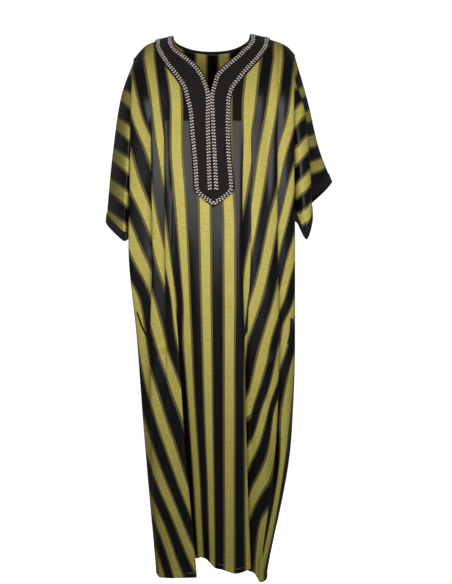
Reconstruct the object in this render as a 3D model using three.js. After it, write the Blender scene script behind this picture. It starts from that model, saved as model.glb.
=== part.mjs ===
import * as THREE from 'three';

// A wide striped djellaba with short sleeves, in the shape it takes when it is worn.
// Sizes are in millimetres. +X is the wearer's left, the front faces -Y and +Z is up.
// The origin is the middle of the neck opening, level with the shoulders beside the neck.

// Cloth and trim
const CLOTH_WALL = 1.6;
const SEAM_HALF_GAP = 0.3;
const SLEEVE_GAP = 0.9;
const BAND_LIFT = 1.7;
const BAND_WALL = 1.3;
const BRAID_LIFT = BAND_LIFT + BAND_WALL + 0.5;
const BRAID_WALL = 1.4;
const BRAID_WIDTH = 11;
const CUFF_LIFT = 0.4;
const CUFF_WALL = 1.2;
const CUFF_HEIGHT = 24;
const NECK_EDGE_UNDER_BAND = 6;

// Heights at which the folds are measured: shoulder, chest, bust, waist, hip, knee, hem
const LEVELS = [0, -200, -370, -550, -800, -1045, -1396];
const CHEST = LEVELS[1];
const FOLD_LEVELS = LEVELS.slice(1);

// A fold whose tucked side is this far behind its crest counts as fully turned
const FULL_TURN = 8;
const LEAST_ROUND = 0.05;
const OPEN_SPREAD = 7;
const TUCK_SHARE = 0.4;

// How full the round over the shoulder and the armhole's edge are, as powers
const SHOULDER_FULLNESS = 0.7;
const ARMHOLE_FULLNESS = 0.7;

// Fineness of the grids. Rows crowd towards the top of a panel and steps towards the neck.
const FRONT_ROWS = 26;
const BACK_ROWS = 24;
const ROW_CROWDING = 1.45;
const NARROW_GAP = 16;
const MIDDLE_GAP = 36;
const SLEEVE_RINGS = 10;
const COLUMNS_PER_SLEEVE_LINE = 3;
const BAND_STEPS = 38;
const BACK_BAND_STEPS = 26;
const BAND_CROWDING = 1.35;

// Rounds of the searches for a point on the cloth
const TOP_SEARCH_ROUNDS = 24;
const TOP_SEARCH_STEP = 0.6;
const SURFACE_SEARCH_ROUNDS = 26;

// Line of the shoulders, from the right sleeve to the left one, as x and height
const SHOULDER = {
  x: [-210, -194, -170, -104, 0, 100, 158, 195, 213, 224],
  z: [-58, -37, -16, 3, 6, 8, -5, -20, -37, -52],
};

// Edge of the V neck, as x and height
const FRONT_NECK = {
  x: [-104, -100, -93, -69, -45, -24, -13.5, -5.6, 2, 7.3, 28, 54, 75, 96, 100],
  z: [3, -22, -38, -55, -78, -105, -130, -151, -130, -109, -86, -64, -44, -20, 8],
};

const BACK_NECK = {
  x: [-104, -98, -60, 0, 58, 94, 100],
  z: [3, -8, -25, -31, -24, -5, 8],
};

// Folds of the front, from its side seam at -X to the one at +X.
// x is the place of the fold at each of LEVELS.
// out is how far the cloth stands from the middle plane at each level from the chest down.
// over names the side that lies on top, step how far the tucked side lies behind it.
// hem is the height at which the cloth ends there, and hemUnder that of the tucked side.
const FRONT_FOLDS = [
  { name: 'side seam', x: [-210, -200, -198, -202, -197, -180, -150], seam: true, hem: -1390 },
  { name: 'hollow by the sleeve', x: [-208, -203, -201, -199, -184, -166, -135],
    out: [86, 84, 80, 52, 46, 48], hem: -1394 },
  { name: 'edge over the sleeve', x: [-204, -212, -214, -218, -195, -177, -146],
    out: [104, 102, 96, 90, 92, 100], hem: -1400 },
  { name: 'armhole drape', x: [-166, -158, -157, -155, -160, -158, -136],
    out: [120, 128, 126, 128, 138, 158], over: 'right', step: [0, 10, 16, 20, 14, 5],
    hem: -1406, hemUnder: -1406 },
  { name: 'chest drape', x: [-128, -124, -123, -122, -118, -112, -92],
    out: [125, 138, 140, 144, 160, 184], over: 'right', step: [0, 10, 12, 6, 0, 0],
    hem: -1404, hemUnder: -1405 },
  { name: 'long front fold', x: [-98, -103, -105, -104, -87, -71, -39],
    out: [127, 141, 146, 152, 168, 190], over: 'left', step: [0, 0, 5, 18, 40, 60],
    hem: -1402, hemUnder: -1340 },
  { name: 'beside the band', x: [-62, -62, -62, -62, -56, -44, -20],
    out: [128, 143, 148, 147, 146, 142], hem: -1358 },
  { name: 'middle', x: [-6, -4, 0, 3, 5, 8, 14],
    out: [130, 146, 151, 153, 156, 158], hem: -1384 },
  { name: 'middle panel', x: [46, 46, 46, 46, 48, 54, 62],
    out: [129, 144, 150, 153, 158, 163], hem: -1396 },
  { name: 'middle panel edge', x: [84, 80, 78, 78, 84, 91, 105],
    out: [127, 141, 147, 150, 157, 160], over: 'left', step: [0, 4, 10, 18, 28, 36],
    hem: -1384, hemUnder: -1390 },
  { name: 'pocket drape', x: [110, 104, 102, 101, 103, 108, 109],
    out: [124, 137, 143, 144, 138, 126], over: 'right', step: [0, 6, 12, 8, 0, 0],
    hem: -1400, hemUnder: -1396 },
  { name: 'side panel', x: [140, 138, 136, 136, 140, 142, 117],
    out: [121, 133, 138, 143, 148, 124], hem: -1412 },
  { name: 'side drape', x: [174, 169, 169, 170, 174, 170, 124],
    out: [114, 122, 123, 126, 132, 134], over: 'left', step: [4, 12, 14, 20, 20, 0],
    hem: -1421, hemUnder: -1422 },
  { name: 'side roll', x: [196, 193, 193, 193, 199, 195, 136],
    out: [109, 110, 108, 106, 110, 126], hem: -1420 },
  { name: 'edge over the sleeve', x: [216, 213, 214, 216, 216, 207, 144],
    out: [103, 101, 95, 88, 86, 96], hem: -1412 },
  { name: 'hollow by the sleeve', x: [222, 207, 203, 202, 205, 197, 131],
    out: [86, 84, 80, 52, 48, 50], hem: -1402 },
  { name: 'side seam', x: [224, 204, 199, 203, 218, 210, 145], seam: true, hem: -1394 },
];

// Folds of the back, from the same side seam at -X to the one at +X
const BACK_FOLDS = [
  { name: 'side seam', x: FRONT_FOLDS[0].x, seam: true, hem: -1390 },
  { name: 'hollow by the sleeve', x: [-208, -203, -201, -199, -182, -164, -134],
    out: [80, 80, 76, 48, 44, 46], hem: -1394 },
  { name: 'edge over the sleeve', x: [-204, -209, -211, -212, -190, -172, -142],
    out: [96, 98, 94, 88, 90, 98], hem: -1400 },
  { name: 'blade drape', x: [-152, -146, -142, -138, -136, -132, -116],
    out: [112, 120, 116, 114, 122, 134], over: 'right', step: [2, 10, 16, 22, 22, 18],
    hem: -1404, hemUnder: -1402 },
  { name: 'left back panel', x: [-104, -102, -98, -92, -88, -84, -74],
    out: [118, 128, 124, 122, 130, 142], hem: -1398 },
  { name: 'long back fold', x: [-58, -58, -56, -54, -50, -46, -36],
    out: [120, 130, 127, 126, 136, 150], over: 'left', step: [0, 0, 8, 20, 30, 40],
    hem: -1396, hemUnder: -1384 },
  { name: 'middle', x: [0, 0, 0, 2, 4, 6, 8],
    out: [118, 127, 120, 114, 116, 122], hem: -1388 },
  { name: 'second back fold', x: [54, 54, 56, 58, 62, 64, 58],
    out: [119, 129, 126, 124, 132, 144], over: 'right', step: [0, 4, 12, 20, 28, 34],
    hem: -1396, hemUnder: -1388 },
  { name: 'right back panel', x: [104, 102, 102, 102, 104, 104, 84],
    out: [117, 126, 124, 123, 130, 142], hem: -1402 },
  { name: 'blade drape', x: [154, 150, 148, 148, 152, 150, 112],
    out: [110, 118, 116, 114, 120, 132], over: 'left', step: [2, 8, 14, 20, 22, 16],
    hem: -1408, hemUnder: -1408 },
  { name: 'edge over the sleeve', x: [213, 210, 211, 212, 208, 199, 140],
    out: [96, 98, 94, 88, 90, 98], hem: -1406 },
  { name: 'hollow by the sleeve', x: [221, 207, 203, 202, 203, 194, 130],
    out: [80, 80, 76, 48, 44, 46], hem: -1400 },
  { name: 'side seam', x: FRONT_FOLDS.at(-1).x, seam: true, hem: -1394 },
];

// Armholes: height of the shoulder point and of the underarm, and half their width
const ARMHOLES = {
  right: { top: -57, bottom: -350, out: 70 },
  left: { top: -49, bottom: -350, out: 70 },
};

// Lines along a sleeve, in order round it. start is how far down the armhole's edge the line
// begins, on its front or back half, and each following point is x, y, z towards the cuff.
const RIGHT_SLEEVE_LINES = [
  { name: 'top', half: 'front', start: 0,
    to: [[-240, 8, -147], [-265, 18, -305], [-283, 30, -486]] },
  { name: 'outer', half: 'front', start: 0.08,
    to: [[-236, -22, -156], [-259, -14, -318], [-274, -6, -499]] },
  { name: 'upper face', half: 'front', start: 0.18,
    to: [[-228, -52, -172], [-248, -48, -334], [-261, -42, -512]] },
  { name: 'lower face', half: 'front', start: 0.32,
    to: [[-219, -76, -196], [-236, -77, -354], [-246, -74, -526]] },
  { name: 'front', half: 'front', start: 0.52,
    to: [[-212, -88, -262], [-224, -94, -388], [-230, -94, -539]] },
  { name: 'inner front', half: 'front', start: 0.8,
    to: [[-208, -62, -356], [-216, -68, -446], [-224, -66, -536]] },
  { name: 'inner', half: 'front', start: 1,
    to: [[-206, 0, -396], [-213, 0, -458], [-219, 0, -526]] },
  { name: 'inner back', half: 'back', start: 0.8,
    to: [[-208, 60, -356], [-215, 66, -440], [-222, 66, -522]] },
  { name: 'back', half: 'back', start: 0.5,
    to: [[-216, 86, -250], [-232, 94, -380], [-242, 96, -512]] },
  { name: 'outer back', half: 'back', start: 0.14,
    to: [[-234, 48, -165], [-256, 64, -322], [-272, 76, -496]] },
];

const LEFT_SLEEVE_LINES = [
  { name: 'top', half: 'front', start: 0,
    to: [[252, 6, -163], [283, 10, -292], [317, 14, -380]] },
  { name: 'outer', half: 'front', start: 0.08,
    to: [[246, -18, -172], [270, -20, -304], [294, -18, -402]] },
  { name: 'under the pleat', half: 'front', start: 0.15,
    to: [[236, -44, -180], [248, -48, -318], [258, -50, -432]] },
  { name: 'pleat edge', half: 'front', start: 0.2,
    to: [[240, -60, -186], [255, -78, -330], [261, -90, -484]] },
  { name: 'pleat tip', half: 'front', start: 0.5,
    to: [[221, -88, -262], [230, -100, -398], [246, -100, -535]] },
  { name: 'inner front', half: 'front', start: 0.8,
    to: [[210, -64, -352], [217, -72, -420], [224, -76, -494]] },
  { name: 'inner', half: 'front', start: 1,
    to: [[207, 0, -390], [212, 0, -436], [217, 0, -484]] },
  { name: 'inner back', half: 'back', start: 0.8,
    to: [[210, 60, -348], [217, 68, -408], [224, 68, -470]] },
  { name: 'back', half: 'back', start: 0.5,
    to: [[222, 84, -244], [238, 94, -350], [252, 96, -446]] },
  { name: 'outer back', half: 'back', start: 0.14,
    to: [[244, 46, -176], [272, 60, -304], [300, 66, -402]] },
];

// Neck band, as x and height from the shoulder down to the point of the placket
const BAND_RIGHT = {
  inner: [[-104, 3], [-105, -15], [-92, -38], [-69, -56], [-45, -78], [-24, -105], [-13, -130],
    [-6.4, -153], [-5.2, -225], [-2.4, -302], [0.6, -380], [2.4, -432], [3.2, -453]],
  outer: [[-150, -8], [-147, -32], [-128, -68], [-107, -98], [-86, -124], [-67, -152], [-58, -180],
    [-55, -212], [-54, -262], [-50, -325], [-48, -388], [-41, -418], [-16, -441]],
};
const BAND_LEFT = {
  inner: [[100, 8], [99, -15], [75, -44], [54, -64], [28, -86], [9, -109], [3, -130],
    [-4.2, -155], [-3.4, -225], [-0.6, -302], [2.4, -380], [4.2, -432], [5, -453]],
  outer: [[152, -3], [147, -30], [124, -66], [100, -95], [74, -126], [55, -152], [46, -180],
    [41, -212], [41, -262], [48, -325], [58, -388], [54, -418], [28, -439]],
};
const BAND_BACK = {
  inner: [[-104, 3], [-99, -9], [-60, -26], [0, -32], [58, -25], [95, -6], [100, 8]],
  outer: [[-150, -8], [-132, -50], [-72, -80], [0, -90], [72, -78], [130, -46], [152, -3]],
};

// Braid rows lie on the band. offset is their distance from the band's edge.
const BRAID_EDGE_OFFSET = 3.5;
const INNER_BRAID_SHARE = 0.93;
const INNER_BRAID_OFFSET = 1.8;

const clamp = THREE.MathUtils.clamp;
const lerp = THREE.MathUtils.lerp;

// Smooth curve through measured values that never overshoots them
function measuredCurve(places, values) {
  const last = places.length - 1;
  const slopes = places.slice(1).map((place, i) => (values[i + 1] - values[i]) / (place - places[i]));
  const tangents = places.map((place, i) => {
    if (i === 0) return slopes[0];
    if (i === last) return slopes[last - 1];
    const before = slopes[i - 1];
    const after = slopes[i];
    return before * after <= 0 ? 0 : (2 * before * after) / (before + after);
  });
  const rising = places[last] > places[0];
  return (place) => {
    let i = 0;
    while (i < last - 1 && (rising ? place > places[i + 1] : place < places[i + 1])) i += 1;
    const span = places[i + 1] - places[i];
    const t = clamp((place - places[i]) / span, 0, 1);
    const t2 = t * t;
    const t3 = t2 * t;
    return (2 * t3 - 3 * t2 + 1) * values[i] + (t3 - 2 * t2 + t) * span * tangents[i]
      + (3 * t2 - 2 * t3) * values[i + 1] + (t3 - t2) * span * tangents[i + 1];
  };
}

const shoulderHeight = measuredCurve(SHOULDER.x, SHOULDER.z);

// Round of the shoulder: 0 on the shoulder line, 1 where the cloth hangs straight
function shoulderRound(x, z) {
  const top = shoulderHeight(x);
  const left = 1 - clamp((top - z) / (top - CHEST), 0, 1);
  return Math.pow(1 - left * left, SHOULDER_FULLNESS);
}

function armholeOut(armhole, z) {
  const share = clamp((armhole.top - z) / (armhole.top - armhole.bottom), 0, 1);
  return armhole.out * Math.pow(Math.sin(Math.PI * share), ARMHOLE_FULLNESS);
}

// A front or back panel. facing is -1 for the front and +1 for the back.
class Panel {
  constructor(folds, facing, neck) {
    this.facing = facing;
    this.neckHeight = measuredCurve(neck.x, neck.z);
    this.neckFrom = neck.x[0];
    this.neckTo = neck.x.at(-1);
    this.folds = folds.map((fold) => ({
      ...fold,
      xAt: measuredCurve(LEVELS, fold.x),
      outAt: fold.seam ? null : measuredCurve(FOLD_LEVELS, fold.out),
      stepAt: fold.over ? measuredCurve(FOLD_LEVELS, fold.step) : null,
    }));
    this.hems = this.folds.flatMap((fold) => {
      if (!fold.over) return [fold.hem];
      return fold.over === 'right' ? [fold.hemUnder, fold.hem] : [fold.hem, fold.hemUnder];
    });
  }

  // Distance out of the seam before the shoulder's round is applied
  seamOut(fold, x, z) {
    const armhole = fold.x[0] < 0 ? ARMHOLES.right : ARMHOLES.left;
    return armholeOut(armhole, z) / Math.max(shoulderRound(x, z), LEAST_ROUND);
  }

  // Points of the folds at one height, as x and distance out from the middle plane
  foldPoints(z) {
    return this.folds.flatMap((fold) => {
      const x = fold.xAt(z);
      if (fold.seam) return [[x, this.seamOut(fold, x, z)]];
      const out = fold.outAt(z);
      if (!fold.over) return [[x, out]];
      const step = fold.stepAt(z);
      const turned = clamp(step / FULL_TURN, 0, 1);
      const towards = fold.over === 'right' ? 1 : -1;
      const crest = [x, out];
      const tucked = [x + towards * (TUCK_SHARE * step - OPEN_SPREAD * (1 - turned)), out - step];
      return fold.over === 'right' ? [tucked, crest] : [crest, tucked];
    });
  }

  // place counts fold points from the first side seam, with shares between them
  at(place, z) {
    const points = this.foldPoints(z).map(([x, out]) => new THREE.Vector3(x, out, 0));
    const curve = new THREE.CatmullRomCurve3(points, false, 'centripetal');
    const point = curve.getPoint(clamp(place / (points.length - 1), 0, 1));
    const out = Math.max(point.y * shoulderRound(point.x, z), SEAM_HALF_GAP);
    return new THREE.Vector3(point.x, this.facing * out, z);
  }

  topHeight(place) {
    let z = 0;
    for (let round = 0; round < TOP_SEARCH_ROUNDS; round += 1) {
      const { x } = this.at(place, z);
      const inNeck = x > this.neckFrom && x < this.neckTo;
      const target = inNeck ? this.neckHeight(x) - NECK_EDGE_UNDER_BAND : shoulderHeight(x);
      z = lerp(z, target, TOP_SEARCH_STEP);
    }
    return z;
  }

  hemHeight(place) {
    const i = Math.min(Math.floor(place), this.hems.length - 2);
    return lerp(this.hems[i], this.hems[i + 1], THREE.MathUtils.smoothstep(place - i, 0, 1));
  }

  // Point of the cloth at a given x and height, where no fold covers another
  onSurface(x, z) {
    let low = 0;
    let high = this.hems.length - 1;
    for (let round = 0; round < SURFACE_SEARCH_ROUNDS; round += 1) {
      const middle = (low + high) / 2;
      if (this.at(middle, z).x < x) low = middle;
      else high = middle;
    }
    return new THREE.Vector3(x, this.at(low, z).y, z);
  }

  // Columns of points from the top edge to the hem, closer together where folds turn
  grid(rows) {
    const places = [];
    const points = this.foldPoints(LEVELS[3]);
    for (let i = 0; i < points.length - 1; i += 1) {
      const gap = Math.abs(points[i + 1][0] - points[i][0]);
      const columns = gap < NARROW_GAP ? 1 : gap < MIDDLE_GAP ? 2 : 3;
      for (let c = 0; c < columns; c += 1) places.push(i + c / columns);
    }
    places.push(points.length - 1);
    return places.map((place) => {
      const top = this.topHeight(place);
      const bottom = this.hemHeight(place);
      return Array.from({ length: rows + 1 }, (_, row) => {
        const share = Math.pow(row / rows, ROW_CROWDING);
        return this.at(place, lerp(top, bottom, share));
      });
    });
  }
}

// Closed wall made from a grid of surface points. outer and inner are how far its two faces
// lie outside and inside that surface. flatten may straighten the normals at a seam.
function wall(grid, { outer = 0, inner = CLOTH_WALL, closed = false, flip = false, flatten = null }) {
  const columns = grid.length;
  const rows = grid[0].length;
  const normals = surfaceNormals(grid, closed, flip);
  const positions = [];
  const index = (side, c, r) => (side * columns + (closed ? c % columns : c)) * rows + r;
  for (const distance of [outer, -inner]) {
    for (let c = 0; c < columns; c += 1) {
      for (let r = 0; r < rows; r += 1) {
        const normal = flatten ? flatten(normals[c][r].clone(), c, r) : normals[c][r];
        positions.push(...grid[c][r].clone().addScaledVector(normal, distance).toArray());
      }
    }
  }
  const faces = [];
  const quad = (a, b, c, d) => faces.push(a, b, c, a, c, d);
  const spans = closed ? columns : columns - 1;
  for (let c = 0; c < spans; c += 1) {
    for (let r = 0; r < rows - 1; r += 1) {
      quad(index(0, c, r), index(0, c, r + 1), index(0, c + 1, r + 1), index(0, c + 1, r));
      quad(index(1, c, r), index(1, c + 1, r), index(1, c + 1, r + 1), index(1, c, r + 1));
    }
    quad(index(0, c, 0), index(0, c + 1, 0), index(1, c + 1, 0), index(1, c, 0));
    quad(index(0, c + 1, rows - 1), index(0, c, rows - 1), index(1, c, rows - 1), index(1, c + 1, rows - 1));
  }
  if (!closed) {
    for (let r = 0; r < rows - 1; r += 1) {
      quad(index(0, 0, r + 1), index(0, 0, r), index(1, 0, r), index(1, 0, r + 1));
      const c = columns - 1;
      quad(index(0, c, r), index(0, c, r + 1), index(1, c, r + 1), index(1, c, r));
    }
  }
  if (flip) faces.reverse();
  const geometry = new THREE.BufferGeometry();
  geometry.setAttribute('position', new THREE.Float32BufferAttribute(positions, 3));
  geometry.setIndex(faces);
  geometry.computeVertexNormals();
  return geometry;
}

// Normals on the side that faces out when columns run to the right and rows run down
function surfaceNormals(grid, closed, flip) {
  const columns = grid.length;
  const rows = grid[0].length;
  const near = (c) => (closed ? (c + columns) % columns : clamp(c, 0, columns - 1));
  return grid.map((column, c) => column.map((point, r) => {
    const across = grid[near(c + 1)][r].clone().sub(grid[near(c - 1)][r]).normalize();
    const down = column[Math.min(r + 1, rows - 1)].clone().sub(column[Math.max(r - 1, 0)]).normalize();
    const normal = down.cross(across);
    if (flip) normal.negate();
    return normal.normalize();
  }));
}

// At a seam the wall's edge stays in the seam's own plane, so two panels never cross there
function seamFlattener(grid) {
  const lastColumn = grid.length - 1;
  return (normal, c, r) => {
    const point = grid[c][r];
    const onSeam = (c === 0 || c === lastColumn) && Math.abs(point.y) < 1;
    const onShoulder = r === 0 && Math.abs(point.y) < 1;
    return onSeam || onShoulder ? normal.setY(0).normalize() : normal;
  };
}

// The same for a strip's ends on the shoulder
function endFlattener(grid) {
  const lastRow = grid[0].length - 1;
  return (normal, c, r) => {
    const onShoulder = (r === 0 || r === lastRow) && Math.abs(grid[c][r].y) < 1;
    return onShoulder ? normal.setY(0).normalize() : normal;
  };
}

const front = new Panel(FRONT_FOLDS, -1, FRONT_NECK);
const back = new Panel(BACK_FOLDS, 1, BACK_NECK);

const frontGrid = front.grid(FRONT_ROWS);
const backGrid = back.grid(BACK_ROWS);

// Edge of an armhole on one panel, from the shoulder to the underarm, at a share of its height
function armholeEdge(grid, side, share) {
  const armhole = ARMHOLES[side];
  const column = side === 'right' ? grid[0] : grid.at(-1);
  const z = lerp(Math.min(armhole.top, column[0].z), armhole.bottom, share);
  const row = Math.max(1, column.findIndex((point) => point.z <= z));
  const above = column[row - 1];
  const below = column[row];
  return above.clone().lerp(below, (above.z - z) / (above.z - below.z));
}

// Sleeve tube: rings from the armhole to the cuff through the sleeve's lines
function sleeveGrid(lines, side) {
  const perLine = COLUMNS_PER_SLEEVE_LINE;
  const starts = lines.map((line) => (line.half === 'front' ? line.start : 2 - line.start));
  const columns = [];
  for (let l = 0; l < lines.length; l += 1) {
    for (let s = 0; s < perLine; s += 1) {
      const next = l + 1 < lines.length ? starts[l + 1] : 2;
      const round = lerp(starts[l], next, s / perLine);
      const onFront = round <= 1;
      const edge = armholeEdge(onFront ? frontGrid : backGrid, side, onFront ? round : 2 - round);
      const ringPoint = (station) => {
        const points = lines.map((line) => new THREE.Vector3(...line.to[station]));
        const ring = new THREE.CatmullRomCurve3(points, true, 'centripetal');
        return ring.getPoint((l + s / perLine) / lines.length);
      };
      const stations = [edge, ringPoint(0), ringPoint(1), ringPoint(2)];
      const away = stations[1].clone().sub(edge).setLength(SLEEVE_GAP);
      stations[0].add(away);
      const curve = new THREE.CatmullRomCurve3(stations, false, 'centripetal');
      const shares = Array.from({ length: SLEEVE_RINGS + 1 }, (_, ring) => ring / SLEEVE_RINGS);
      columns.push(shares.map((ringShare) => curve.getPoint(ringShare)));
    }
  }
  return columns;
}

// Strip on a panel between two edges given as x and height
function stripGrid(panel, edges, steps, shares) {
  const edgeCurve = (points) => {
    const vectors = points.map(([x, z]) => new THREE.Vector3(x, z, 0));
    return new THREE.CatmullRomCurve3(vectors, false, 'centripetal');
  };
  const inner = edgeCurve(edges.inner);
  const outer = edgeCurve(edges.outer);
  const crowding = edges.crowding ?? BAND_CROWDING;
  return shares.map((share) => Array.from({ length: steps + 1 }, (_, step) => {
    const t = Math.pow(step / steps, crowding);
    const a = inner.getPoint(t);
    const b = outer.getPoint(t);
    const width = a.distanceTo(b);
    const x = lerp(a.x, b.x, share(width));
    const z = lerp(a.y, b.y, share(width));
    return panel.onSurface(x, Math.min(z, shoulderHeight(x)));
  }));
}

const innerBraidShares = [
  (width) => INNER_BRAID_OFFSET / width,
  (width) => (INNER_BRAID_OFFSET + BRAID_WIDTH) / width,
];
const outerBraidShares = [
  (width) => 1 - (BRAID_EDGE_OFFSET + BRAID_WIDTH) / width,
  (width) => 1 - BRAID_EDGE_OFFSET / width,
];
const bandShares = [() => 0, innerBraidShares[1], outerBraidShares[0], () => 1];

const clothStripes = new THREE.MeshStandardMaterial({ color: 0x8d8648, roughness: 0.8 });
const sleeveStripes = new THREE.MeshStandardMaterial({ color: 0x9a914d, roughness: 0.8 });
const blackBand = new THREE.MeshStandardMaterial({ color: 0x191817, roughness: 0.75 });
const creamBraid = new THREE.MeshStandardMaterial({ color: 0xd0bf9c, roughness: 0.65 });

const garment = new THREE.Group();

function add(name, geometry, material) {
  const mesh = new THREE.Mesh(geometry, material);
  mesh.name = name;
  garment.add(mesh);
}

function addPanels() {
  add('front', wall(frontGrid, { flatten: seamFlattener(frontGrid) }), clothStripes);
  add('back', wall(backGrid, { flip: true, flatten: seamFlattener(backGrid) }), clothStripes);
}

function addSleeves() {
  const sleeves = [
    { side: 'right', lines: RIGHT_SLEEVE_LINES, flip: false },
    { side: 'left', lines: LEFT_SLEEVE_LINES, flip: true },
  ];
  for (const { side, lines, flip } of sleeves) {
    const grid = sleeveGrid(lines, side);
    add(`sleeve_${side}`, wall(grid, { closed: true, flip }), sleeveStripes);
    const cuff = grid.map((column) => {
      const end = column.at(-1);
      const before = column.at(-2);
      const share = clamp(CUFF_HEIGHT / end.distanceTo(before), 0, 1);
      return [end.clone().lerp(before, share), end.clone()];
    });
    add(`cuff_${side}`, wall(cuff, {
      outer: CUFF_LIFT + CUFF_WALL, inner: -CUFF_LIFT, closed: true, flip,
    }), blackBand);
  }
}

function addBandAndBraid() {
  const bands = [
    { side: 'right', panel: front, edges: BAND_RIGHT, flip: true },
    { side: 'left', panel: front, edges: BAND_LEFT, flip: false },
    { side: 'back', panel: back, edges: { ...BAND_BACK, crowding: 1 }, flip: false },
  ];
  for (const { side, panel, edges, flip } of bands) {
    const steps = side === 'back' ? BACK_BAND_STEPS : BAND_STEPS;
    const innerSteps = side === 'back' ? steps : Math.round(steps * INNER_BRAID_SHARE);
    const band = stripGrid(panel, edges, steps, bandShares);
    const innerRow = stripGrid(panel, edges, steps, innerBraidShares);
    const innerBraid = innerRow.map((column) => column.slice(0, innerSteps + 1));
    const outerBraid = stripGrid(panel, edges, steps, outerBraidShares);
    const addStrip = (name, grid, lift, thickness, material) => {
      const faces = { outer: lift + thickness, inner: -lift, flip, flatten: endFlattener(grid) };
      add(`${name}_${side}`, wall(grid, faces), material);
    };
    addStrip('band', band, BAND_LIFT, BAND_WALL, blackBand);
    addStrip('braid_inner', innerBraid, BRAID_LIFT, BRAID_WALL, creamBraid);
    addStrip('braid_outer', outerBraid, BRAID_LIFT, BRAID_WALL, creamBraid);
  }
}

addPanels();
addSleeves();
addBandAndBraid();

export default garment;
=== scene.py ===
"""A wide striped djellaba with short sleeves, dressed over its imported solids.

Sizes of the garment are written in millimetres and turned to metres as each piece is made.
+X is the wearer's left, the front faces -Y and +Z is up.
"""
import math
from functools import partial

import bpy
import numpy as np
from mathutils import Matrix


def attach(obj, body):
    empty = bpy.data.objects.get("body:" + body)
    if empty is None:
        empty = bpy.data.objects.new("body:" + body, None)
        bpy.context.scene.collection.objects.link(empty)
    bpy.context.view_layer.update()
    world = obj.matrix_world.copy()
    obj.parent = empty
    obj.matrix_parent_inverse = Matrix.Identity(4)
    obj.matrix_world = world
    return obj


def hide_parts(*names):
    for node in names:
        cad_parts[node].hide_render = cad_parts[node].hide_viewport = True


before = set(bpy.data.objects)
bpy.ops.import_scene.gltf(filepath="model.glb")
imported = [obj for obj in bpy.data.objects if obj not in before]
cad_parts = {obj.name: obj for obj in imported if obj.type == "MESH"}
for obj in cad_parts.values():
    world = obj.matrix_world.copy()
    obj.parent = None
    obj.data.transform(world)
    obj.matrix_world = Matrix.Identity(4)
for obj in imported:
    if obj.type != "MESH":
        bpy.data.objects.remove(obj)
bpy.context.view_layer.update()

MM = 0.001

# Camera: level with the middle of the garment, far enough back that the sleeves hardly foreshorten
CAMERA_PLACE = (0.036, -5.5, -0.672)
CAMERA_LENS = 128.03

# Cut and cloth
STRIPE_REPEAT = 64.5
CLOTH_THICKNESS = 1.3
SLEEVE_TUCKED_IN = 2.5
# The turned hem: its depth, how far it stands out, and the rows that draw its edge
HEM_DEPTH = 12.0
HEM_STANDS_OUT = 0.9
HEM_EDGE_ABOVE = 0.3
HEM_EDGE_SOFT = 0.8
ABOVE_HEM_ROWS = 1.6
HEM_ROWS = [HEM_DEPTH + 0.6, HEM_DEPTH - 0.6, HEM_DEPTH - 1.6, HEM_DEPTH / 2, 1.0, 0]

# Heights at which the folds are measured: shoulder, chest, bust, waist, hip, knee, hem
LEVELS = [0, -200, -370, -550, -800, -1045, -1396]
CHEST = LEVELS[1]
FOLD_LEVELS = LEVELS[1:]
FULL_TURN = 8
LEAST_ROUND = 0.05
OPEN_SPREAD = 7
TUCK_SHARE = 0.4
SHOULDER_FULLNESS = 0.7
ARMHOLE_FULLNESS = 0.7
NECK_EDGE_UNDER_BAND = 6

SHOULDER_X = [-210, -194, -170, -104, 0, 100, 158, 195, 213, 224]
SHOULDER_Z = [-58, -37, -16, 3, 6, 8, -5, -20, -37, -52]
FRONT_NECK_X = [-104, -100, -93, -69, -45, -24, -13.5, -5.6, 2, 7.3, 28, 54, 75, 96, 100]
FRONT_NECK_Z = [3, -22, -38, -55, -78, -105, -130, -151, -130, -109, -86, -64, -44, -20, 8]
BACK_NECK_X = [-104, -98, -60, 0, 58, 94, 100]
BACK_NECK_Z = [3, -8, -25, -31, -24, -5, 8]

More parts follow.
